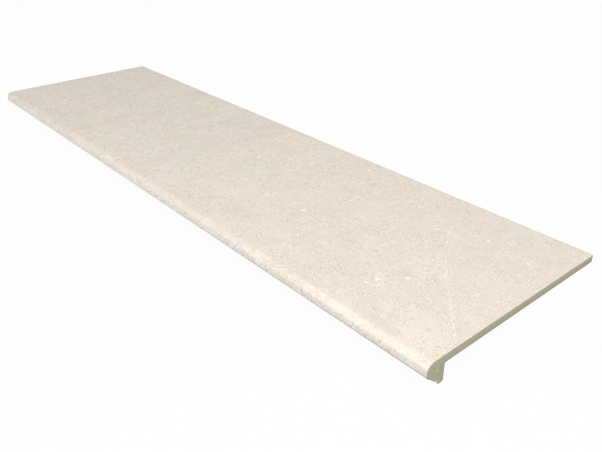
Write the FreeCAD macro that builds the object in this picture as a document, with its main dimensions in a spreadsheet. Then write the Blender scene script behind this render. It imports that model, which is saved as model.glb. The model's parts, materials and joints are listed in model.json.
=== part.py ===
# Bullnose step tread tile: one fired ceramic piece, a thin plate whose front edge
# rolls over in a bullnose and hangs down as a wedge-shaped drip nose.
# Millimetres. X runs along the tread, -Y is the front (nose) side, +Z is up.

import FreeCAD, Part
import Sketcher
import math
import os

doc = FreeCAD.newDocument("BullnoseTile")

# The driving sizes, one row each: name, value, what it measures
sizes = [
    ("tread_length", 1200, "end to end, along X"),
    ("tread_depth", 330, "front of the nose to the rear edge"),
    ("plate_thickness", 11, "walking face to bedding face"),
    ("bullnose_radius", 11, "quarter round along the front"),
    ("nose_height", 36, "walking face to the tip of the nose"),
    ("nose_thickness", 28.5, "front of the nose to its riser face"),
    ("front_height", 16.8, "walking face to the corner where the slope starts"),
    ("slope_radius", 180, "slight hollow of the slope, from the front face to the tip"),
    ("tip_width", 7.5, "flat at the bottom of the nose"),
    ("front_corner_radius", 2, "front face into the slope"),
    ("tip_front_radius", 1, "slope into the tip"),
    ("tip_rear_radius", 2, "tip into the riser face"),
    ("inner_radius", 2.5, "riser face into the bedding face"),
    ("edge_radius", 0.8, "softened edges of the rear and of both ends"),
    ("key_depth", 0.8, "depth of a keying groove"),
    ("key_width", 7, "width of a keying groove"),
    ("key_border", 14, "plain border round the keyed field"),
    ("key_count", 14, "grooves from front to rear"),
]

sheet = doc.addObject("Spreadsheet::Sheet", "Sizes")
for row, (name, value, note) in enumerate(sizes, start=1):
    sheet.set(f"A{row}", name)
    sheet.set(f"B{row}", str(value))
    sheet.set(f"C{row}", note)
    sheet.setAlias(f"B{row}", name)
doc.recompute()

tile = doc.addObject("PartDesign::Body", "BullnoseTile")
tile.Label = "bullnose_tile"


def vector(x, y, z=0):
    return FreeCAD.Vector(x, y, z)


def new_sketch(name, role):
    """A sketch of the tile, attached to the origin plane with that role."""
    sketch = tile.newObject("Sketcher::SketchObject", name)
    plane = next(item for item in tile.Origin.OriginFeatures if item.Role == role)
    sketch.AttachmentSupport = [(plane, "")]
    sketch.MapMode = "FlatFace"
    return sketch


def dimension(sketch, name, formula, kind, *where):
    """A named dimension of the sketch, driven by a formula of the sheet's sizes."""
    value = sketch.evalExpression(formula)
    number = sketch.addConstraint(Sketcher.Constraint(kind, *where, float(value)))
    sketch.renameConstraint(number, name)
    sketch.setExpression(f"Constraints.{name}", formula)


def join(sketch, kind, first, second):
    """End of one edge to the start of the next: Coincident, or Tangent where it runs on smoothly."""
    sketch.addConstraint(Sketcher.Constraint(kind, first[0], first[1], second[0], second[1]))


# Section: the sketch's first direction is Y, its second is Z. Its origin is the lower
# rear corner, so the bedding face lies on Z = 0.
section = new_sketch("Section", "YZ_Plane")
top = sheet.plate_thickness
front = -sheet.tread_depth
riser = front + sheet.nose_thickness
tip = top - sheet.nose_height
slope_top = top - sheet.front_height
round_end = top - sheet.bullnose_radius
round_start = front + sheet.bullnose_radius
slope_foot = riser - sheet.tip_width

# The slope runs from the foot to the front corner, hollowed upwards from the chord between them
foot = vector(slope_foot, tip)
corner = vector(front, slope_top)
chord = corner - foot
hollow = sheet.slope_radius - math.sqrt(sheet.slope_radius ** 2 - (chord.Length / 2) ** 2)
slope_middle = (foot + corner) / 2 + vector(chord.y, -chord.x).normalize() * hollow

bed_edge, riser_edge, tip_edge, slope_edge, front_edge, round_edge, top_edge, rear_edge = range(8)
start, end, centre = 1, 2, 3
section.addGeometry([
    Part.LineSegment(vector(0, 0), vector(riser, 0)),
    Part.LineSegment(vector(riser, 0), vector(riser, tip)),
    Part.LineSegment(vector(riser, tip), foot),
    Part.Arc(foot, slope_middle, corner),
    Part.LineSegment(corner, vector(front, round_end)),
    Part.ArcOfCircle(
        Part.Circle(vector(round_start, round_end), vector(0, 0, 1), sheet.bullnose_radius),
        math.pi / 2, math.pi),
    Part.LineSegment(vector(round_start, top), vector(0, top)),
    Part.LineSegment(vector(0, top), vector(0, 0)),
], False)
join(section, "Coincident", (bed_edge, end), (riser_edge, start))
join(section, "Coincident", (riser_edge, end), (tip_edge, start))
join(section, "Coincident", (tip_edge, end), (slope_edge, start))
join(section, "Coincident", (slope_edge, end), (front_edge, start))
join(section, "Tangent", (front_edge, end), (round_edge, end))
join(section, "Tangent", (round_edge, start), (top_edge, start))
join(section, "Coincident", (top_edge, end), (rear_edge, start))
join(section, "Coincident", (rear_edge, end), (bed_edge, start))
join(section, "Coincident", (bed_edge, start), (-1, start))
for level in (bed_edge, tip_edge, top_edge):
    section.addConstraint(Sketcher.Constraint("Horizontal", level))
for upright in (riser_edge, front_edge, rear_edge):
    section.addConstraint(Sketcher.Constraint("Vertical", upright))
dimension(section, "thickness", "Sizes.plate_thickness", "DistanceY", bed_edge, start, top_edge, end)
dimension(section, "depth", "Sizes.tread_depth", "DistanceX", front_edge, start, bed_edge, start)
dimension(section, "round", "Sizes.bullnose_radius", "Radius", round_edge)
dimension(section, "drop", "Sizes.nose_height", "DistanceY", riser_edge, end, top_edge, end)
dimension(section, "nose", "Sizes.nose_thickness", "DistanceX", front_edge, start, riser_edge, start)
dimension(section, "face", "Sizes.front_height", "DistanceY", front_edge, start, top_edge, end)
dimension(section, "foot", "Sizes.tip_width", "DistanceX", slope_edge, start, riser_edge, end)
dimension(section, "hollow", "Sizes.slope_radius", "Radius", slope_edge)

pressing = tile.newObject("PartDesign::Pad", "Pressing")
pressing.Profile = section
pressing.SideType = "Symmetric"
pressing.setExpression("Length", "Sizes.tread_length")
doc.recompute()


def edges_along(shape, y, z):
    """Names of the edges that run the whole tread at this place of the section."""
    found = []
    for number, edge in enumerate(shape.Edges, start=1):
        middle = edge.CenterOfMass
        runs_along = edge.BoundBox.XLength > shape.BoundBox.XLength / 2
        if runs_along and math.hypot(middle.y - y, middle.z - z) < 0.01:
            found.append(f"Edge{number}")
    return found


def round_over(name, size, pick):
    """Fillet of the edges that pick finds on the tile so far, with a radius from the sheet."""
    base = tile.Tip
    fillet = tile.newObject("PartDesign::Fillet", name)
    fillet.Base = (base, pick(base.Shape))
    fillet.setExpression("Radius", f"Sizes.{size}")
    tile.Tip = fillet
    doc.recompute()
    return fillet


# Edges that run along the tread, from the front of the nose round to the rear
round_over("FrontCorner", "front_corner_radius", lambda shape: edges_along(shape, front, slope_top))
round_over("TipFront", "tip_front_radius", lambda shape: edges_along(shape, slope_foot, tip))
round_over("TipRear", "tip_rear_radius", lambda shape: edges_along(shape, riser, tip))
round_over("InnerCorner", "inner_radius", lambda shape: edges_along(shape, riser, 0))
round_over("RearEdges", "edge_radius",
           lambda shape: edges_along(shape, 0, top) + edges_along(shape, 0, 0))


def end_outlines(shape):
    """Names of the edges that bound the two end faces."""
    reach = shape.BoundBox.XMax - 0.001
    return [
        f"Edge{number}" for number, edge in enumerate(shape.Edges, start=1)
        if edge.BoundBox.XMin > reach or edge.BoundBox.XMax < -reach]


solid_form = round_over("EndEdges", "edge_radius", end_outlines)

# Keying grooves in the bedding face: one slot near the rear edge, repeated towards the nose
# inside a plain border, so that none opens at an edge or end.
groove_sketch = new_sketch("GrooveOutline", "XY_Plane")
half_width = sheet.key_width / 2
half_run = sheet.tread_length / 2 - sheet.key_border - half_width
first_line = -sheet.key_border - half_width
groove_sketch.addGeometry([
    Part.LineSegment(vector(-half_run, first_line + half_width), vector(half_run, first_line + half_width)),
    Part.LineSegment(vector(-half_run, first_line - half_width), vector(half_run, first_line - half_width)),
    Part.ArcOfCircle(
        Part.Circle(vector(half_run, first_line), vector(0, 0, 1), half_width),
        -math.pi / 2, math.pi / 2),
    Part.ArcOfCircle(
        Part.Circle(vector(-half_run, first_line), vector(0, 0, 1), half_width),
        math.pi / 2, 3 * math.pi / 2),
], False)
rear_side, front_side, right_cap, left_cap = range(4)
join(groove_sketch, "Tangent", (rear_side, end), (right_cap, end))
join(groove_sketch, "Tangent", (right_cap, start), (front_side, end))
join(groove_sketch, "Tangent", (front_side, start), (left_cap, end))
join(groove_sketch, "Tangent", (left_cap, start), (rear_side, start))
groove_sketch.addConstraint(Sketcher.Constraint("Horizontal", rear_side))
groove_sketch.addConstraint(Sketcher.Constraint("Symmetric", left_cap, centre, right_cap, centre, -2))
dimension(groove_sketch, "width", "Sizes.key_width", "DistanceY",
          front_side, start, rear_side, start)
dimension(groove_sketch, "run", "Sizes.tread_length - 2 * Sizes.key_border - Sizes.key_width",
          "DistanceX", left_cap, centre, right_cap, centre)
dimension(groove_sketch, "border", "Sizes.key_border", "DistanceY", rear_side, start, -1, start)

groove = tile.newObject("PartDesign::Pocket", "KeyGroove")
groove.Profile = groove_sketch
groove.Reversed = True
groove.setExpression("Length", "Sizes.key_depth")
doc.recompute()

grooves = tile.newObject("PartDesign::LinearPattern", "KeyGrooves")
grooves.Originals = [groove]
grooves.Direction = (groove_sketch, ["V_Axis"])
grooves.Reversed = True
grooves.Mode = "Extent"
grooves.setExpression(
    "Length",
    "Sizes.tread_depth - Sizes.nose_thickness - 2 * Sizes.key_border - Sizes.key_width")
grooves.setExpression("Occurrences", "Sizes.key_count")
tile.Tip = grooves
doc.recompute()

# At rest on a level floor the tile touches along the softened lower rear edge and along
# the rear corner of the nose tip, so it leans back by the slope of the line under both.
run = -riser - sheet.edge_radius + sheet.tip_rear_radius
fall = -tip + sheet.edge_radius - sheet.tip_rear_radius
radius_step = sheet.tip_rear_radius - sheet.edge_radius
rest_tilt = math.degrees(math.atan2(fall, run) + math.asin(radius_step / math.hypot(run, fall)))
lean = FreeCAD.Rotation(vector(1, 0, 0), -rest_tilt)
tile.Placement = FreeCAD.Placement(vector(0, 0, 0), lean)
doc.recompute()
footprint = tile.Shape.optimalBoundingBox(False, False)
tile.Placement = FreeCAD.Placement(
    vector(-footprint.Center.x, -footprint.Center.y, -footprint.ZMin), lean)
doc.recompute()

# Nothing is written unless every feature worked and the tile is one sound solid
for item in doc.Objects:
    if "Invalid" in item.State or "Error" in item.State:
        raise RuntimeError(f"{item.Name} failed: {item.State}")
for sketch in (section, groove_sketch):
    if not sketch.FullyConstrained:
        raise RuntimeError(f"{sketch.Name} is not fully constrained")
if tile.Shape.isNull() or not tile.Shape.isValid() or len(tile.Shape.Solids) != 1:
    raise RuntimeError("The tile is not one valid solid")
slot_area = (2 * half_run * sheet.key_width + math.pi * half_width ** 2)
cut_volume = solid_form.Shape.Volume - tile.Shape.Volume
if abs(cut_volume / (slot_area * sheet.key_depth * sheet.key_count) - 1) > 0.001:
    raise RuntimeError("The keying grooves did not cut the bedding face")

os.makedirs("parts", exist_ok=True)
tile.Shape.exportStep(f"parts/{tile.Label}.step")

box = tile.Shape.optimalBoundingBox(False, False)
print(f"leans back {rest_tilt:.3f} degrees")
print(f"box {box.XLength:.2f} x {box.YLength:.2f} x {box.ZLength:.2f} mm, volume {tile.Shape.Volume:.0f} mm3")
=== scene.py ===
import bpy
import bmesh
import json
import math
from mathutils import Euler, Matrix, Vector


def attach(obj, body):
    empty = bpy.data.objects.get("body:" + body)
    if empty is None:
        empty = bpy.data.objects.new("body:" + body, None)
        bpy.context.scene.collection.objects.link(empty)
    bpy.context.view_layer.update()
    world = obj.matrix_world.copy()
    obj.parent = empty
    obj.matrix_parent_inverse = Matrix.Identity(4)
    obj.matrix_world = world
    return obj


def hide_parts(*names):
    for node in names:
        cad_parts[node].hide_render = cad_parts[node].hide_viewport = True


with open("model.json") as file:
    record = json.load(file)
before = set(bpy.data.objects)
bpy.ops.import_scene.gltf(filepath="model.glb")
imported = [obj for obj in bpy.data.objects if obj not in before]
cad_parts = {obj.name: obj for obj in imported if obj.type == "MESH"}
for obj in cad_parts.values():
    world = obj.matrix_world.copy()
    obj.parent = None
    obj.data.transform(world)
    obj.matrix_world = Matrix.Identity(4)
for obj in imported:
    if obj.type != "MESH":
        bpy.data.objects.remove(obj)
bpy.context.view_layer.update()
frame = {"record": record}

# The tile leans back on its nose tip and lower rear edge. It is modelled and coloured level,
# with its lower rear corner on the X axis, and then laid in the frame by its rear edge's mount.
mounts = {mount["name"]: mount for mount in frame["record"]["mounts"]}
rearAxis = Vector(mounts["rear_edge"]["axis"])
leanBack = math.atan2(rearAxis.z, rearAxis.y)
leanTurn = Matrix.Rotation(leanBack, 4, "X")

# Sizes in metres, as the solid has them
tile = {
    "length": 1.2,
    "depth": 0.33,
    "plate": 0.011,  # thickness of the plate
    "round": 0.011,  # radius of the bullnose
    "noseHeight": 0.036,
    "noseThickness": 0.0285,
    "frontHeight": 0.0168,  # walking face to the slope under the nose
    "slopeRadius": 0.18,  # slight hollow of that slope
    "slopeStrips": 8,
    "tipWidth": 0.0075,
    "frontCorner": 0.002,
    "tipFront": 0.001,
    "tipRear": 0.002,
    "innerCorner": 0.0025,
    "softEdge": 0.0008,  # rounding of the rear edges
    "endEdge": 0.00035,  # and of the ends, which the picture shows crisper
    "softSteps": 4,
    "roundSteps": 20,
    "cornerSteps": 6,
    "tipSteps": 4,
    "slack": 0.00001,  # keeps each end just inside the solid's
    "grooveDepth": 0.0008,
    "grooveWidth": 0.007,
    "grooveBorder": 0.014,
    "grooveCount": 14,
    "grooveEnds": 0.999,  # share of half the width that its round ends take
    "grooveEndSteps": 8,
    "grooveSoftening": 0.0003,
    "grooveSoftSteps": 2,
    "mergeGap": 1e-6,
    "smoothAngle": 40,
}
front = -tile["depth"]
riser = front + tile["noseThickness"]
tip = tile["plate"] - tile["noseHeight"]
slopeTop = tile["plate"] - tile["frontHeight"]
slopeFoot = riser - tile["tipWidth"]
halfLength = tile["length"] / 2

rearPoint = Vector(mounts["rear_edge"]["pos_m"])
cornerPlace = rearPoint - leanTurn @ Vector((0, 0, tile["plate"] / 2))
tilePlace = Matrix.Translation(cornerPlace) @ leanTurn


# How closely things have to agree to be picked
picking = {"gap": 1e-5, "square": 0.99, "flat": 0.99999}


# Selecting by place, always from nothing selected
def pick(kind, test):
    bpy.ops.mesh.select_mode(type=kind)
    bpy.ops.mesh.select_all(action="DESELECT")
    mesh = bmesh.from_edit_mesh(bpy.context.object.data)
    items = {"EDGE": mesh.edges, "FACE": mesh.faces}[kind]
    for item in items:
        if test(item):
            item.select_set(True)
    mesh.select_flush_mode()
    bmesh.update_edit_mesh(bpy.context.object.data)


def near(a, b, gap=picking["gap"]):
    return abs(a - b) < gap


def middle(edge):
    return (edge.verts[0].co + edge.verts[1].co) / 2


def runsAlong(edge, shortest=halfLength):
    return abs(edge.verts[0].co.x - edge.verts[1].co.x) > shortest


def edgeAt(y, z):
    return lambda edge: runsAlong(edge) and near(middle(edge).y, y) and near(middle(edge).z, z)


def liesFlat(edge):
    faces = edge.link_faces
    return len(faces) == 2 and faces[0].normal.dot(faces[1].normal) > picking["flat"]


# A round of this radius where the outline turns by this angle
def roundEdge(y, z, radius, turn=math.pi / 2, segments=tile["cornerSteps"]):
    pick("EDGE", edgeAt(y, z))
    bpy.ops.mesh.bevel(
        offset=radius * math.tan(turn / 2), offset_type="OFFSET", segments=segments, profile=0.5,
        affect="EDGES", clamp_overlap=False)


# The slope is cut into strips along the tile, and the lines between them are pressed in to an arc
def hollowSlope():
    corner = Vector((0, front, slopeTop))
    chord = Vector((0, slopeFoot, tip)) - corner
    inward = Vector((0, -chord.z, chord.y)).normalized()
    strips = tile["slopeStrips"]
    lines = [corner + chord * step / strips for step in range(1, strips)]
    for line in lines:
        pick("FACE", lambda face: face.normal.dot(inward) < -picking["square"])
        bpy.ops.mesh.bisect(plane_co=line, plane_no=chord.normalized())
    reach = tile["slopeRadius"] ** 2
    for line in lines:
        pick("EDGE", edgeAt(line.y, line.z))
        fromMiddle = (line - corner - chord / 2).length
        depth = math.sqrt(reach - fromMiddle ** 2) - math.sqrt(reach - (chord.length / 2) ** 2)
        bpy.ops.transform.translate(value=inward * depth)
    # how steep the chord is, and how far the end strips turn from it
    steepness = math.atan2(-chord.z, chord.y)
    endTurn = math.asin(chord.length / 2 / tile["slopeRadius"]) * (1 - 1 / strips)
    return steepness, endTurn


def shapeSection():
    bpy.ops.mesh.primitive_cube_add(
        size=1, location=(0, front / 2, tile["plate"] / 2),
        scale=(tile["length"] - 2 * tile["endEdge"] - 2 * tile["slack"], tile["depth"], tile["plate"]))
    piece = bpy.context.object
    piece.name = "bullnoseTile"
    bpy.ops.object.transform_apply(location=True, rotation=True, scale=True)
    bpy.ops.object.mode_set(mode="EDIT")

    # the nose is drawn down out of the front strip of the underside
    bpy.ops.mesh.select_all(action="SELECT")
    bpy.ops.mesh.bisect(plane_co=(0, riser, 0), plane_no=(0, 1, 0))
    pick("FACE", lambda face: face.normal.z < -picking["square"] and face.calc_center_median().y < riser)
    bpy.ops.mesh.extrude_region_move(TRANSFORM_OT_translate={"value": (0, 0, tip)})

    # its lower front is cut back to a slope
    bpy.ops.mesh.select_all(action="SELECT")
    bpy.ops.mesh.bisect(plane_co=(0, 0, slopeTop), plane_no=(0, 0, 1))
    pick("EDGE", edgeAt(front, tip))
    bpy.ops.transform.translate(value=(0, slopeFoot - front, 0))
    pick("EDGE", liesFlat)
    bpy.ops.mesh.dissolve_edges(use_verts=True)
    steepness, endTurn = hollowSlope()

    # the rounds, from the bullnose down to the inner corner
    roundEdge(front, tile["plate"], tile["round"], segments=tile["roundSteps"])
    roundEdge(front, slopeTop, tile["frontCorner"], turn=math.pi / 2 - steepness + endTurn)
    roundEdge(slopeFoot, tip, tile["tipFront"], turn=steepness + endTurn, segments=tile["tipSteps"])
    roundEdge(riser, tip, tile["tipRear"])
    roundEdge(riser, 0, tile["innerCorner"])
    roundEdge(0, tile["plate"], tile["softEdge"], segments=tile["softSteps"])
    roundEdge(0, 0, tile["softEdge"], segments=tile["softSteps"])
    roundEnds()
    bpy.ops.object.mode_set(mode="OBJECT")
    return piece


# Each end grows outwards in insets that follow a quarter circle
def roundEnds():
    inwards, outwards = 0, 0
    for step in range(1, tile["softSteps"] + 1):
        turn = step / tile["softSteps"] * math.pi / 2
        nextInwards = tile["endEdge"] * (1 - math.cos(turn))
        nextOutwards = tile["endEdge"] * math.sin(turn)
        pick("FACE", lambda face: abs(face.normal.x) > picking["square"])
        bpy.ops.mesh.inset(thickness=nextInwards - inwards, depth=nextOutwards - outwards)
        inwards, outwards = nextInwards, nextOutwards


# One slot-shaped cutter, repeated from the rear border to the one behind the nose
def cutGrooves(piece):
    width = tile["grooveWidth"]
    cutterHeight = 2 * tile["grooveDepth"]
    run = tile["length"] - 2 * tile["grooveBorder"]
    firstLine = -tile["grooveBorder"] - width / 2
    lastLine = riser + tile["grooveBorder"] + width / 2
    bpy.ops.object.select_all(action="DESELECT")
    bpy.ops.mesh.primitive_cube_add(
        size=1, location=(0, firstLine, 0), scale=(run, width, cutterHeight))
    cutter = bpy.context.object
    bpy.ops.object.transform_apply(location=True, rotation=True, scale=True)
    bpy.ops.object.mode_set(mode="EDIT")
    pick("EDGE", lambda edge: near(abs(edge.verts[0].co.z - edge.verts[1].co.z), cutterHeight))
    bpy.ops.mesh.bevel(
        offset=width / 2 * tile["grooveEnds"], segments=tile["grooveEndSteps"], profile=0.5,
        affect="EDGES", clamp_overlap=False)
    pick("FACE", lambda face: face.normal.z > picking["square"])
    bpy.ops.mesh.region_to_loop()
    bpy.ops.mesh.bevel(
        offset=tile["grooveSoftening"], segments=tile["grooveSoftSteps"], profile=0.5,
        affect="EDGES", clamp_overlap=False)
    bpy.ops.object.mode_set(mode="OBJECT")
    rows = cutter.modifiers.new("rows", "ARRAY")
    rows.count = tile["grooveCount"]
    rows.use_relative_offset = False
    rows.use_constant_offset = True
    rows.constant_offset_displace = (0, (lastLine - firstLine) / (tile["grooveCount"] - 1), 0)
    bpy.ops.object.modifier_apply(modifier=rows.name)
    cut = piece.modifiers.new("grooves", "BOOLEAN")
    cut.object = cutter
    cut.operation = "DIFFERENCE"
    cut.solver = "EXACT"
    bpy.ops.object.select_all(action="DESELECT")
    piece.select_set(True)
    bpy.context.view_layer.objects.active = piece
    bpy.ops.object.modifier_apply(modifier=cut.name)
    bpy.data.objects.remove(cutter)


# The face isn't dead flat: it swells slowly and has a finer unevenness, both pressed inwards
relief = {
    "cellSize": 0.003,  # spacing of the points that carry the relief
    "mostCuts": 100,  # as many as one subdivide makes
    "longestRun": 4,  # so a long edge is first cut in this many
    "runGap": 0.0001,
    "margin": 0.001,  # the relief stays this far from the lower edges of the nose
    "fadeCells": 2,  # it fades in from the ends and the rear over so many cells
    "detail": 2,  # of both noises
    "swell": {"depth": 0.00012, "size": 0.07},
    "grain": {"depth": 0.00007, "size": 0.010},
}


def isGlazedSide(point):
    margin = relief["margin"]
    return point.z > tile["plate"] / 2 or (point.y < slopeFoot - margin and point.z > tip + margin)


# Evenly spaced points over the walking face and the nose, which the relief then moves
def addRelief(piece):
    bpy.ops.object.mode_set(mode="EDIT")
    lengthCells = tile["length"] / relief["cellSize"]
    pick("EDGE", lambda edge: runsAlong(edge) and isGlazedSide(middle(edge)))
    bpy.ops.mesh.subdivide(number_cuts=relief["longestRun"] - 1)
    shortest = tile["length"] / relief["longestRun"] / 2
    pick("EDGE", lambda edge: runsAlong(edge, shortest) and isGlazedSide(middle(edge)))
    bpy.ops.mesh.subdivide(number_cuts=round(lengthCells / relief["longestRun"]) - 1)
    flatRun = tile["depth"] - tile["round"] - tile["softEdge"]
    pick("EDGE", lambda edge: middle(edge).z > tile["plate"] / 2
         and near(abs(edge.verts[0].co.y - edge.verts[1].co.y), flatRun, relief["runGap"]))
    bpy.ops.mesh.subdivide(number_cuts=min(relief["mostCuts"], round(flatRun / relief["cellSize"]) - 1))
    bpy.ops.object.mode_set(mode="OBJECT")

    faced = piece.vertex_groups.new(name="faced")
    fadeWidth = relief["fadeCells"] * relief["cellSize"]
    for vert in piece.data.vertices:
        gap = min(halfLength - abs(vert.co.x), -vert.co.y) - tile["softEdge"]
        if isGlazedSide(vert.co) and gap > 0:
            faced.add([vert.index], min(1, gap / fadeWidth), "REPLACE")
    for name in ("swell", "grain"):
        clouds = bpy.data.textures.new(name, "CLOUDS")
        clouds.noise_scale = relief[name]["size"]
        clouds.noise_depth = relief["detail"]
        push = piece.modifiers.new(name, "DISPLACE")
        push.texture = clouds
        push.texture_coords = "LOCAL"
        push.vertex_group = "faced"
        push.strength = relief[name]["depth"]
        push.mid_level = 1  # only ever inwards, so the tile stays in its own box
        bpy.ops.object.modifier_apply(modifier=push.name)


def makeTile():
    bpy.ops.object.select_all(action="DESELECT")
    print("section and nose")
    piece = shapeSection()
    print("grooves of the underside")
    cutGrooves(piece)
    print("relief of the glazed faces")
    addRelief(piece)
    bpy.ops.object.mode_set(mode="EDIT")
    bpy.ops.mesh.select_all(action="SELECT")
    bpy.ops.mesh.remove_doubles(threshold=tile["mergeGap"])
    bpy.ops.mesh.normals_make_consistent(inside=False)
    bpy.ops.object.mode_set(mode="OBJECT")
    bpy.ops.object.shade_smooth_by_angle(angle=math.radians(tile["smoothAngle"]))
    piece.matrix_world = tilePlace
    bpy.ops.object.transform_apply(location=True, rotation=True, scale=True)
    return piece


# A socket that does sums: an expression on these adds its Math nodes
class Value:
    def __init__(self, finish, socket):
        self.finish = finish
        self.socket = socket

    def sum(self, operation, first, second=0.0):
        return self.finish.node("ShaderNodeMath", {"operation": operation}, {0: first, 1: second})

    def __add__(self, other):
        return self.sum("ADD", self, other)

    def __sub__(self, other):
        return self.sum("SUBTRACT", self, other)

    def __mul__(self, other):
        return self.sum("MULTIPLY", self, other)

    def __radd__(self, other):
        return self.sum("ADD", other, self)

    def __rsub__(self, other):
        return self.sum("SUBTRACT", other, self)

    def __rmul__(self, other):
        return self.sum("MULTIPLY", other, self)

    def __neg__(self):
        return self.sum("MULTIPLY", self, -1.0)

    def __abs__(self):
        return self.sum("ABSOLUTE", self)

    def least(self, other):
        return self.sum("MINIMUM", self, other)

    def most(self, other):
        return self.sum("MAXIMUM", self, other)

    # 0 up to low and 1 from high on, or the other way round where low is the larger
    def step(self, low, high):
        return self.finish.node(
            "ShaderNodeMapRange", {"interpolation_type": "SMOOTHSTEP"},
            {"Value": self, "From Min": low, "From Max": high})


class Finish:
    def __init__(self, owner):
        owner.use_nodes = True
        self.tree = owner.node_tree
        self.tree.nodes.clear()

    # Any node: its settings first, then what goes into its sockets. It gives the named output.
    def node(self, kind, settings=None, inputs=None, output=0):
        made = self.tree.nodes.new(kind)
        for name, value in (settings or {}).items():
            setattr(made, name, value)
        for name, value in (inputs or {}).items():
            if isinstance(value, Value):
                self.tree.links.new(value.socket, made.inputs[name])
            else:
                made.inputs[name].default_value = value
        return Value(self, made.outputs[output]) if made.outputs else None

    # Another output of the node that a value comes from
    def also(self, value, output):
        return Value(self, value.socket.node.outputs[output])

    # The three numbers of a vector or colour
    def parts(self, vector):
        x = self.node("ShaderNodeSeparateXYZ", inputs={0: vector})
        return x, self.also(x, 1), self.also(x, 2)

    # Colour between two, by a value from 0 to 1
    def blend(self, amount, first, second):
        first, second = (end + (1,) if isinstance(end, tuple) else end for end in (first, second))
        return self.node(
            "ShaderNodeMix", {"data_type": "RGBA", "clamp_factor": True},
            {0: amount, 6: first, 7: second}, output=2)

    def vectorMath(self, operation, inputs, output=0):
        return self.node("ShaderNodeVectorMath", {"operation": operation}, inputs, output)

    def plus(self, first, second):
        return self.vectorMath("ADD", {0: first, 1: second})

    def minus(self, first, second):
        return self.vectorMath("SUBTRACT", {0: first, 1: second})

    def times(self, vector, x, y, z):
        factors = self.node("ShaderNodeCombineXYZ", inputs={0: x, 1: y, 2: z})
        return self.vectorMath("MULTIPLY", {0: vector, 1: factors})

    def timesAll(self, vector, amount):
        return self.times(vector, amount, amount, amount)

    def distance(self, place, centre):
        return self.vectorMath("DISTANCE", {0: place, 1: centre}, output="Value")

    # Noise about 0, so many waves to the metre
    def noise(self, place, scale, detail=2.0, roughness=0.5):
        return self.node(
            "ShaderNodeTexNoise", {"noise_dimensions": "3D"},
            {"Vector": place, "Scale": scale, "Detail": detail, "Roughness": roughness}) - 0.5

    # Noise that comes up in patches between two of its levels
    def patches(self, place, scale, detail, roughness, low, high):
        return self.noise(place, scale, detail, roughness).step(low, high)

    # Simple noises added up, each by its share
    def clouds(self, place, layers):
        total = 0.0
        for scale, share in layers:
            total = total + self.noise(place, scale, detail=1) * share
        return total

    # Dots, so many to the metre and differing in size by spread, and a random number for each of them
    def dots(self, place, scale, spread, edge, core):
        distance = self.node(
            "ShaderNodeTexVoronoi", {"voronoi_dimensions": "3D", "feature": "F1"},
            {"Vector": place, "Scale": scale}, output="Distance")
        chance, size = self.parts(self.also(distance, "Color"))[:2]
        return (distance + spread * size).step(edge, core), chance


# A share that changes evenly along the tile: what it is at the middle, and its change to the metre
def along(x, atMiddle, toMetre):
    return atMiddle + toMetre * x


# The glaze: warm cream with the soft clouds, grains and specks of a limestone. Shares are parts of
# the colour's own brightness.
glaze = {
    "cream": (0.785, 0.706, 0.613),
    "thin": (0.756, 0.706, 0.636),  # cooler, low on the front
    "shade": (0.707, 0.751, 0.793),  # what a lighter or darker grain adds or takes
    "frontShade": (0.840, 0.850, 0.700),  # the same for the front's purplish specks, painted shade and painted highlight
    "footShade": (0.860, 0.790, 0.610),  # and for the painted shade of its foot, bluish
    "roughness": 0.42,
    "speckRoughness": 0.25,  # what a speck adds to it
    # slow clouds and a finer mottle: waves to the metre and share of each layer
    "clouds": ((12, 0.055), (25, 0.065), (50, 0.080)),
    "cloudsAlong": (1.12, -0.42),
    "mottle": ((100, 0.14), (200, 0.15)),
    "mottleAlong": (1.05, -0.16),
    "mottleCalm": 0.18,  # weaker by this towards the nose
    # noises: waves to the metre, detail, roughness, and for patches the levels they come up between
    "grit": (460, 1.5, 0.6),
    "gritShare": 0.84,
    "grainPatches": (60, 2.5, 0.6, -0.14, 0.09),
    "grainBetween": 0.36,
    "grainInPatches": 0.84,  # more than between them
    "grainAlong": (1.24, -0.64),
    "bendCalm": 0.28,  # the grain is weaker by this on the bend of the nose
    "farBendCalm": 0.14,  # and by this more in the far half
    # dots: how many to the metre, how much their sizes differ, and the distances of edge and core
    "specks": (430, 0.14, 0.50, 0.22),
    "speckChance": (0.64, 0.70),
    "speckShare": 0.20,
    "crumbs": (500, 0.14, 0.52, 0.22),
    "crumbChance": (0.42, 0.36),
    "crumbShare": 0.23,
    "fleckChance": (0.95, 0.97),  # rare darker flecks
    "fleckShare": 0.17,
    "flecksAnywhere": 0.5,
    "flecksAtCorner": 0.6,  # more at the near front corner
    "paintedLightDrift": -0.025,  # painted light and shade along the tile, darker towards the near end: change of tone to the metre
    # the front: dappled, with more specks where it is dapple, and painted shade low down and towards the
    # near end
    "dapple": (130, 2, 0.6, 0.10, -0.10),
    "dappleShare": 0.035,
    "frontChance": (0.58, 0.66),
    "frontSpeckShare": 0.30,
    "frontBetween": 0.35,
    "frontInDapple": 0.65,
    "frontDrift": -0.07,  # painted shade, darker towards the near end: change of tone to the metre, up to the next value
    "frontPalest": 0.015,
    "footAlong": (0.18, 0.31),
    "footFarthest": -0.3,  # past this the foot stays as it is here
    # the bend of the nose: a broken painted highlight, brighter towards the near end
    "gleam": (45, 2, 0.6, -0.12, 0.10),
    "gleamAlong": (0.045, -0.05),
    "bendDrift": 0.055,
    "bendNear": 0.050,
    "bendDarker": 0.025,
    # shifts of hue: waves to the metre, detail, roughness and share
    "warmth": (10, 4, 0.62, 0.070),
    "rose": (17, 4, 0.62, 0.102),
    "noseRose": (36, 2, 0.5, 0.13),
    "noseLilac": (48, 3, 0.5, 0.31),
    "farCool": 0.040,  # less red over the last of the far end, and half as much less green
    # how high they stand in the bump
    "gritHeight": 0.6,
    "speckDepth": 0.5,
    "crumbHeight": 0.3,
}

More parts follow.
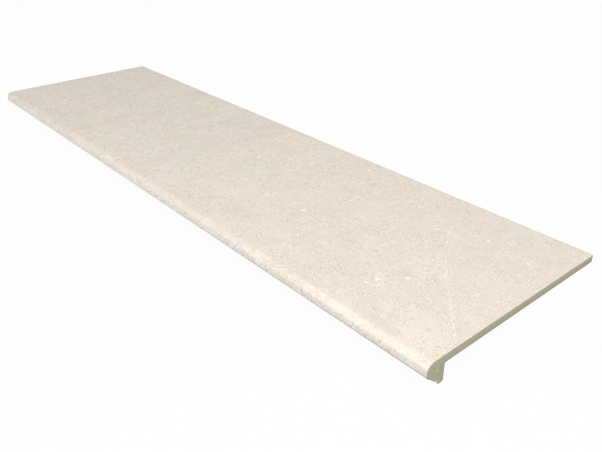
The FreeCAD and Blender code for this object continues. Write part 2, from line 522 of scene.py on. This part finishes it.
# Where these begin and where they are full, in metres: X along the tile, Y from its rear edge and
# below 0 towards the front, and Z up from the underside of the plate
glazeZones = {
    "farHalfX": (-0.05, -0.4),
    "farEndX": (-0.570, -0.586),
    "nearHalfX": (-0.2, 0.5),
    "nearEndX": (0.32, 0.50),
    "calmY": (-0.19, -0.25),
    "cornerY": (-0.22, -0.30),
    "noseY": (front + 0.014, front + 0.008),
    "bendY": (front + 0.010, front + 0.006),
    "bendZ": (0.002, 0.006),
    "frontY": (front + 0.012, front + 0.010),
    "frontZ": (0.0065, 0.0010),
    "footZ": (slopeTop + 0.0037, slopeTop),
    "lilacZ": (0.0115, 0.003),
    "thinZ": (0.008, -0.003),
    "faceZ": (tile["plate"] - 0.004, tile["plate"] - 0.002),
}

# Single marks of the face in millimetres from the middle of the rear edge: place, radius, and
# share lighter or darker
marks = (
    (255, -202, 6.0, 0.205), (235, -180, 17.0, 0.030), (455, -253, 4.8, 0.23), (449, -267, 3.4, 0.16),
    (477, -224, 4.4, 0.19), (471, -218, 3.0, -0.10), (478, -203, 14.0, 0.030), (435, -233, 11.0, 0.020),
    (489, -74, 3.8, 0.19), (557, -84, 3.8, 0.23), (561, -76, 3.0, 0.08), (421, -101, 3.6, 0.23),
    (437, -95, 5.0, 0.09), (275, -112, 3.6, 0.30), (284, -120, 4.0, -0.13), (218, -28, 4.4, 0.31),
    (115, -49, 4.2, 0.13), (107, -68, 14.0, 0.020), (53, -133, 4.6, 0.30), (46, -121, 10.0, 0.030),
    (179, -211, 3.4, 0.18), (112, -201, 5.0, 0.08), (-26, -254, 4.0, 0.13), (15, -252, 4.2, 0.16),
    (40, -265, 4.5, 0.12), (-161, -76, 6.5, 0.14), (-152, -84, 12.0, 0.025), (-225, -292, 4.8, 0.14),
    (-346, -92, 4.4, 0.20), (-387, -61, 5.0, 0.06), (-445, -266, 4.6, 0.19), (-468, -178, 5.0, 0.37),
    (-509, -90, 5.0, 0.20), (592, -31, 5.0, 0.12), (583, -22, 9.0, 0.040), (244, -55, 5.5, -0.15),
    (261, -64, 5.5, -0.16), (315, -25, 4.6, -0.16), (422, -28, 4.2, -0.16), (271, -136, 3.0, -0.26),
    (259, -246, 4.0, -0.14), (325, -277, 3.0, -0.18), (-14, -28, 7.0, -0.12), (-128, -111, 5.0, -0.16),
    (-12, -290, 3.8, -0.24), (190, -137, 3.4, -0.31), (-461, -243, 4.6, -0.18), (-433, -308, 4.4, -0.30),
    (-293, -212, 6.0, -0.13), (545, -20, 7.0, -0.06), (508, -115, 9.0, -0.03), (350, -205, 7.0, -0.05),
    (570, -304, 3.2, -0.19), (586, -300, 3.2, -0.17), (536, -281, 3.4, -0.18), (494, -300, 3.4, -0.14),
    (554, -232, 3.2, -0.20), (561, -283, 3.0, -0.18), (164, -308, 3.4, -0.24), (405, -206, 3.4, -0.20),
    (562, -139, 3.2, -0.16), (454, -131, 3.4, -0.19), (173, -87, 3.4, -0.18), (-4, -199, 3.8, -0.17),
    (570, -298, 48.0, 0.032),
)

# Pale veins, in millimetres too: the bends of each, its half width and share
veins = (
    (((408, -30), (421, -46), (436, -92), (452, -116), (470, -142), (478, -152)), 1.5, 0.068),
    (((478, -152), (497, -173), (516, -197), (536, -216), (557, -240), (574, -257)), 1.6, 0.135),
    (((574, -257), (592, -273)), 1.6, 0.075),
    (((479, -160), (486, -187), (490, -211)), 1.6, 0.090),
    (((124, -67), (132, -78), (143, -90)), 2.0, 0.100),
    (((-598, -62), (-572, -80), (-533, -101)), 2.4, 0.060),
)

# How marks and veins are drawn
drawing = {
    "core": 0.35,  # share of a mark's radius over which it is full
    "shakeWaves": 170.0,  # to the metre
    "shakeDetail": 2.0,
    "shakeReach": 0.009,  # metres over which an edge is shaken
    "veinPatches": (70, 2, 0.5, -0.14, 0.12),
    "veinBetween": 0.7,
    "veinInPatches": 0.6,  # more than between them
}


def markShares(finish, place, spots):
    total = 0.0
    for centre, radius, share in spots:
        total = total + finish.distance(place, centre).step(radius, drawing["core"] * radius) * share
    return total


# How far a place is from the nearest of a row of straight runs
def fromLine(finish, place, bends):
    nearest = 1.0
    for start, end in zip(bends, bends[1:]):
        run = end - start
        offset = finish.minus(place, start)
        travelled = finish.vectorMath(
            "DOT_PRODUCT", {0: offset, 1: run / run.length_squared}, output="Value").most(0.0).least(1.0)
        reached = finish.vectorMath("SCALE", {0: run, "Scale": travelled})
        nearest = finish.distance(offset, reached).least(nearest)
    return nearest


def onFace(x, y):
    return Vector((x, y, 0)) / 1000


# What is printed on the walking face is laid out on a flat place, shaken a little
def drawMarks(finish, place, z):
    reach = drawing["shakeReach"]
    flat = finish.times(place, 1.0, 1.0, 0.0)
    shake = finish.node(
        "ShaderNodeTexNoise",
        inputs={"Vector": place, "Scale": drawing["shakeWaves"], "Detail": drawing["shakeDetail"]},
        output="Color")
    shaken = finish.vectorMath("MULTIPLY_ADD", {0: shake, 1: (reach, reach, 0.0), 2: flat})
    shaken = finish.minus(shaken, (reach / 2, reach / 2, 0.0))
    drawn = markShares(
        finish, shaken, [(onFace(x, y), radius / 1000, share) for x, y, radius, share in marks])
    patch = finish.patches(place, *drawing["veinPatches"])
    breaks = drawing["veinBetween"] + drawing["veinInPatches"] * patch
    for bends, halfWidth, share in veins:
        gap = fromLine(finish, shaken, [onFace(*bend) for bend in bends])
        drawn = drawn + gap.step(halfWidth / 1000, 0) * breaks * share
    return drawn * z.step(*glazeZones["faceZ"])


def hueShift(finish, place, name):
    *waves, share = glaze[name]
    return finish.noise(place, *waves) * share


def paintGlaze(finish, place, x, y, z):
    zones = glazeZones
    clouds = finish.clouds(place, glaze["clouds"]) * along(x, *glaze["cloudsAlong"])

    # the grain comes and goes in patches
    patch = finish.patches(place, *glaze["grainPatches"])
    bend = y.step(*zones["bendY"]) * z.step(*zones["bendZ"])
    bendCalm = glaze["bendCalm"] + glaze["farBendCalm"] * x.step(*zones["farHalfX"])
    strength = ((glaze["grainBetween"] + glaze["grainInPatches"] * patch)
                * along(x, *glaze["grainAlong"]) * (1 - bendCalm * bend))
    mottle = (finish.clouds(place, glaze["mottle"]) * along(x, *glaze["mottleAlong"])
              * (1 - glaze["mottleCalm"] * y.step(*zones["calmY"])))
    grit = finish.noise(place, *glaze["grit"])
    darkDots, darkChance = finish.dots(place, *glaze["specks"])
    specks = darkDots * darkChance.step(*glaze["speckChance"])
    atCorner = glaze["flecksAtCorner"] * x.step(*zones["nearHalfX"]) * y.step(*zones["cornerY"])
    flecks = darkDots * darkChance.step(*glaze["fleckChance"]) * (glaze["flecksAnywhere"] + atCorner)
    paleDots, paleChance = finish.dots(place, *glaze["crumbs"])
    crumbs = paleDots * paleChance.step(*glaze["crumbChance"])
    fine = mottle + glaze["gritShare"] * grit - glaze["speckShare"] * specks
    fine = (fine + glaze["crumbShare"] * crumbs) * strength
    # with painted light and shade along the tile, lighter at the far end and darker at the near end
    fine = fine - glaze["fleckShare"] * flecks + glaze["paintedLightDrift"] * x

    # the front is dappled and speckled, with painted shade low down and towards the near end, and a
    # painted highlight on the bend
    onFront = z.step(*zones["frontZ"]) * y.step(*zones["frontY"])
    dapple = finish.patches(place, *glaze["dapple"])
    frontSpecks = (darkDots * paleChance.step(*glaze["frontChance"])
                   * (glaze["frontBetween"] + glaze["frontInDapple"] * dapple))
    # painted shade along the front, darker towards the near end, with the dapple and specks
    frontSpecksAndPaintedLight = (glaze["frontDrift"] * x).least(glaze["frontPalest"]) - glaze["dappleShare"] * dapple
    frontSpecksAndPaintedLight = (frontSpecksAndPaintedLight - glaze["frontSpeckShare"] * frontSpecks) * onFront
    # painted highlight along the bend of the nose, brighter towards the near end
    gleam = finish.patches(place, *glaze["gleam"])
    paintedBendHighlight = along(x, *glaze["gleamAlong"]) * gleam + glaze["bendDrift"] * x
    paintedBendHighlight = paintedBendHighlight + glaze["bendNear"] * x.step(*zones["nearEndX"]) - glaze["bendDarker"]
    frontSpecksAndPaintedLight = frontSpecksAndPaintedLight + bend * paintedBendHighlight
    # painted shade low on the front, stronger towards the near end
    paintedFootShade = -z.step(*zones["footZ"]) * along(x.most(glaze["footFarthest"]), *glaze["footAlong"])

    # slow shifts of hue, and livelier ones round the nose
    warmth = hueShift(finish, place, "warmth")
    rose = hueShift(finish, place, "rose") + hueShift(finish, place, "noseRose") * y.step(*zones["noseY"])
    lilac = hueShift(finish, place, "noseLilac") * z.step(*zones["lilacZ"])
    cool = x.step(*zones["farEndX"]) * glaze["farCool"]
    base = finish.blend(z.step(*zones["thinZ"]), glaze["cream"], glaze["thin"])
    base = finish.times(base, 1 + warmth - cool, 1 + rose - 0.5 * cool, 1 - warmth + lilac)

    tone = clouds + fine + drawMarks(finish, place, z)
    tinted = finish.plus(base, finish.timesAll(glaze["shade"], tone))
    tinted = finish.plus(tinted, finish.timesAll(glaze["frontShade"], frontSpecksAndPaintedLight))
    tinted = finish.plus(tinted, finish.timesAll(glaze["footShade"], paintedFootShade))
    height = glaze["gritHeight"] * grit - glaze["speckDepth"] * specks + glaze["crumbHeight"] * crumbs
    return tinted, height, specks


# The bare body: greenish grey stoneware with fine grog. Noises and dots are given as the glaze's.
body = {
    "stone": (0.394, 0.379, 0.268),
    "roughness": 0.85,
    "clouds": (55, 3, 0.6),
    "cloudShare": 0.10,
    "cloudHeight": 0.5,
    "grit": (520, 3, 0.7),
    "gritShare": 0.22,
    "grog": (700, 0.0, 0.45, 0.15),
    "grogShare": 0.14,
    "grogDepth": 0.4,  # of the dark grains in the bump
    "darkChance": (0.80, 0.84),
    "paleChance": (0.16, 0.12),
    # streaks of the pressing along the underside
    "drag": (420, 3, 0.7),
    "dragStretch": 0.03,
    "dragShare": 0.10,
    "dragHeight": 0.6,
    # kiln wash left on the underside, thicker on the lands between the grooves
    "wash": (0.560, 0.540, 0.470),
    "washPatches": (34, 4, 0.65),
    "washDrag": 0.5,
    "washLevels": (-0.12, 0.10),
    "washShare": 0.15,
    "washOnLands": 0.55,
    # painted shade along the lower edges of the ends, its share at each, and how far it wanders
    "shadow": (0.105, 0.115, 0.110),
    "plateShadow": 0.92,
    "wallShadow": 0.72,
    "tipShadow": 0.6,
    "slopeShadow": 0.65,
    "slopeWander": 0.0016,
    # the pale layer that shows as a line under the glaze, more of it towards the rear
    "engobe": (0.790, 0.725, 0.590),
    "engobeShare": 0.09,
    "engobeAtRear": 0.85,
    # the chip's own colour
    "chip": (0.560, 0.560, 0.467),
    "chipShare": 0.9,
    "chipCore": 0.5,  # share of its radius over which it is full
}

# Where these begin and where they are full, in metres as for the glaze
bodyZones = {
    "underY": (riser - 0.002, riser),
    "underZ": (0.0004, 0.0),
    "landsZ": (tile["grooveDepth"], 0.0002),
    "endX": (halfLength - 0.0006, halfLength - 0.0002),
    "plateY": (riser - 0.001, riser + 0.001),
    "plateZ": (0.0020, 0.0006),
    "wallY": (riser - 0.0022, riser - 0.0003),
    "wallZ": (0.0, -0.002),
    "tipZ": (tip + 0.0016, tip),
    "slopeGap": (-0.0015, -0.0006),
    "engobeZ": (tile["plate"] - 0.0012, tile["plate"] - 0.00048),
    "engobeY": (-0.0009, -0.0003),
    "depthY": (front, 0.0),
}

# Marks in the near end face, from the middle of the lower rear edge: place, radius and share
endMarks = (
    ((halfLength, -0.3131, -0.0040), 0.0034, 0.24),
    ((halfLength, -0.3135, -0.0032), 0.0013, -0.14),
    ((halfLength, -0.3168, 0.0004), 0.0020, -0.14),
    ((halfLength, -0.3098, -0.0036), 0.0018, -0.16),
    ((halfLength, -0.3118, -0.0082), 0.0016, -0.10),
)

# A shallow chip in its lower front edge, paler and greyer, as places and radii
chip = (
    ((halfLength, -0.3153, -0.0178), 0.0022),
    ((halfLength, -0.3140, -0.0188), 0.0024),
    ((halfLength, -0.3122, -0.0207), 0.0028),
)


# How far a place is outside the slope under the nose
def pastSlope(y, z):
    run = slopeFoot - front
    fall = slopeTop - tip
    return ((slopeTop - z) * run - (y - front) * fall) * (1 / math.hypot(run, fall))


def paintBody(finish, place, x, y, z):
    zones = bodyZones
    coarse = finish.noise(place, *body["clouds"])
    grit = finish.noise(place, *body["grit"])
    grog, chance = finish.dots(place, *body["grog"])
    darkGrog = grog * chance.step(*body["darkChance"])
    paleGrog = grog * chance.step(*body["paleChance"])
    drag = finish.noise(finish.times(place, body["dragStretch"], 1.0, 1.0), *body["drag"])
    under = z.step(*zones["underZ"]) * y.step(*zones["underY"])
    tone = 1 + body["cloudShare"] * coarse + body["gritShare"] * grit
    tone = tone + body["grogShare"] * (paleGrog - darkGrog) + body["dragShare"] * drag * under
    tone = tone + markShares(finish, place, endMarks)
    washed = finish.noise(place, *body["washPatches"]) + body["washDrag"] * drag
    washed = under * washed.step(*body["washLevels"])
    thickness = body["washShare"] + body["washOnLands"] * z.step(*zones["landsZ"])
    base = finish.blend(washed * thickness, body["stone"], body["wash"])

    # seen end on, painted shade darkens the lower edges, and the layer under the glaze is paler
    onEnd = abs(x).step(*zones["endX"])
    underPlate = z.step(*zones["plateZ"]) * y.step(*zones["plateY"])
    behindNose = y.step(*zones["wallY"]) * z.step(*zones["wallZ"])
    slopeGap = pastSlope(y, z) + body["slopeWander"] * coarse
    # painted shade under the plate, behind the nose, at the tip and along the slope
    arrisShade = (body["plateShadow"] * underPlate).most(body["wallShadow"] * behindNose)
    arrisShade = arrisShade.most(body["tipShadow"] * z.step(*zones["tipZ"]))
    arrisShade = arrisShade.most(body["slopeShadow"] * slopeGap.step(*zones["slopeGap"])) * onEnd
    base = finish.blend(arrisShade, base, body["shadow"])
    chipped = 0.0
    for centre, radius in chip:
        chipped = finish.distance(place, centre).step(radius, body["chipCore"] * radius).most(chipped)
    base = finish.blend(body["chipShare"] * chipped, base, body["chip"])
    layer = z.step(*zones["engobeZ"]) * onEnd.most(y.step(*zones["engobeY"]))
    layer = layer * (body["engobeShare"] + body["engobeAtRear"] * y.step(*zones["depthY"]))
    base = finish.blend(layer, base, body["engobe"])
    height = grit + body["cloudHeight"] * coarse - body["grogDepth"] * darkGrog
    return finish.timesAll(base, tone), height + body["dragHeight"] * drag * under


# Where the glaze ends, in metres
glazeLine = {
    "fromEdge": 0.0003,
    "softness": 0.00015,
    "wander": 0.0006,
    "wanderWaves": 500,  # to the metre
    "topZ": (tile["plate"] / 2 - 0.0005, tile["plate"] / 2),
    "noseY": (slopeFoot - 0.001, slopeFoot - 0.003),
    "footZ": (slopeTop - 0.0022, slopeTop - 0.0012),
    "drips": (220, 3, 0.6),  # waves to the metre, detail and roughness
    "dripLength": 0.004,
}

# What glaze and body share
skin = {"bumpStrength": 0.6, "bumpDepth": 0.00025, "ior": 1.5}


def paintTile():
    material = bpy.data.materials.new("firedTile")
    finish = Finish(material)
    coordinates = finish.node("ShaderNodeTexCoord", output="Object")
    place = finish.node(
        "ShaderNodeMapping", {"vector_type": "TEXTURE"},
        {"Vector": coordinates, "Location": cornerPlace, "Rotation": (leanBack, 0, 0)})
    x, y, z = finish.parts(place)
    glazeColour, glazeHeight, specks = paintGlaze(finish, place, x, y, z)
    bodyColour, bodyHeight = paintBody(finish, place, x, y, z)

    # the glaze covers the walking face and runs over the nose onto the top of the slope
    edge = glazeLine["fromEdge"]
    softness = glazeLine["softness"]
    wander = finish.noise(place, glazeLine["wanderWaves"]) * glazeLine["wander"]
    inside = ((halfLength - abs(x)).least(-y) + wander).step(edge - softness, edge + softness)
    covered = z.step(*glazeLine["topZ"]).most(y.step(*glazeLine["noseY"]))
    drips = finish.noise(place, *glazeLine["drips"]) * glazeLine["dripLength"]
    glazed = inside * covered * (z + drips).step(*glazeLine["footZ"])

    colour = finish.blend(glazed, bodyColour, glazeColour)
    smoother = glaze["roughness"] - body["roughness"]
    roughness = body["roughness"] + glazed * (smoother + glaze["speckRoughness"] * specks)
    height = glazed * glazeHeight + (1 - glazed) * bodyHeight
    bump = finish.node(
        "ShaderNodeBump",
        inputs={"Strength": skin["bumpStrength"], "Distance": skin["bumpDepth"], "Height": height},
        output="Normal")
    surface = finish.node(
        "ShaderNodeBsdfPrincipled",
        inputs={"Base Color": colour, "Roughness": roughness, "Normal": bump, "IOR": skin["ior"]},
        output="BSDF")
    finish.node("ShaderNodeOutputMaterial", inputs={"Surface": surface})
    return material


# A wide pale floor, nearly white to the camera, that still takes a soft shadow
studio = {
    "white": (1, 1, 1, 1),
    "floorSize": 30,
    "floorColour": (0.86, 0.86, 0.86),
    "floorLift": 0.955,  # share of plain white that the camera sees in the floor
    "worldStrength": 0.625,
    "lampSize": 1.0,
    "lampAim": (0.0, -0.1, 0.0),
    "lamps": {"keyLamp": ((0.9, -0.3, 1.2), 9.5), "fillLamp": ((-0.4, -2.2, 1.2), 13.3)},
}


def makeStudio():
    bpy.ops.object.select_all(action="DESELECT")
    bpy.ops.mesh.primitive_plane_add(size=studio["floorSize"], location=(0, 0, 0))
    floor = bpy.context.object
    floor.name = "floor"
    material = bpy.data.materials.new("paleFloor")
    finish = Finish(material)
    seen = finish.node("ShaderNodeLightPath", output="Is Camera Ray")
    matte = finish.node("ShaderNodeBsdfDiffuse", inputs={"Color": studio["floorColour"] + (1,)})
    white = finish.node("ShaderNodeEmission", inputs={"Color": studio["white"], "Strength": 1.0})
    mixed = finish.node(
        "ShaderNodeMixShader", inputs={0: seen * studio["floorLift"], 1: matte, 2: white})
    finish.node("ShaderNodeOutputMaterial", inputs={"Surface": mixed})
    floor.data.materials.append(material)

    world = bpy.data.worlds.new("studio")
    bpy.context.scene.world = world
    finish = Finish(world)
    seen = finish.node("ShaderNodeLightPath", output="Is Camera Ray")
    dim = finish.node(
        "ShaderNodeBackground", inputs={"Color": studio["white"], "Strength": studio["worldStrength"]})
    white = finish.node("ShaderNodeBackground", inputs={"Color": studio["white"], "Strength": 1.0})
    mixed = finish.node("ShaderNodeMixShader", inputs={0: seen, 1: dim, 2: white})
    finish.node("ShaderNodeOutputWorld", inputs={"Surface": mixed})

    for name, (spot, power) in studio["lamps"].items():
        bpy.ops.object.light_add(type="AREA", location=spot)
        lamp = bpy.context.object
        lamp.name = name
        lamp.data.size = studio["lampSize"]
        lamp.data.energy = power
        aim = Vector(studio["lampAim"]) - Vector(spot)
        lamp.rotation_euler = aim.to_track_quat("-Z", "Y").to_euler()


# The photograph's viewpoint, measured from the level tile: its place from the middle of the
# rear upper edge in metres, and its turns in degrees
camera = {
    "spot": (0.9160, -0.7579, 0.4480),
    "turns": (61.201, -0.256, 48.247),
    "lens": 39.71,
    "shiftX": -0.0357,
    "reach": 100,  # metres that it sees
}


def makeCamera():
    bpy.ops.object.camera_add()
    eye = bpy.context.object
    eye.name = "photoCamera"
    eye.data.lens = camera["lens"]
    eye.data.shift_x = camera["shiftX"]
    eye.data.clip_end = camera["reach"]
    turns = Euler([math.radians(turn) for turn in camera["turns"]], "XYZ").to_matrix().to_4x4()
    spot = Vector(camera["spot"]) + Vector((0, 0, tile["plate"]))
    eye.matrix_world = tilePlace @ Matrix.Translation(spot) @ turns
    bpy.context.scene.camera = eye


print("camera and studio")
makeCamera()
makeStudio()

piece = makeTile()
print("glaze and bare body")
piece.data.materials.append(paintTile())
print("triangles", sum(len(face.vertices) - 2 for face in piece.data.polygons))
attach(piece, "root")
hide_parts("bullnose_tile")

scene = bpy.context.scene
scene.view_settings.view_transform = "Standard"
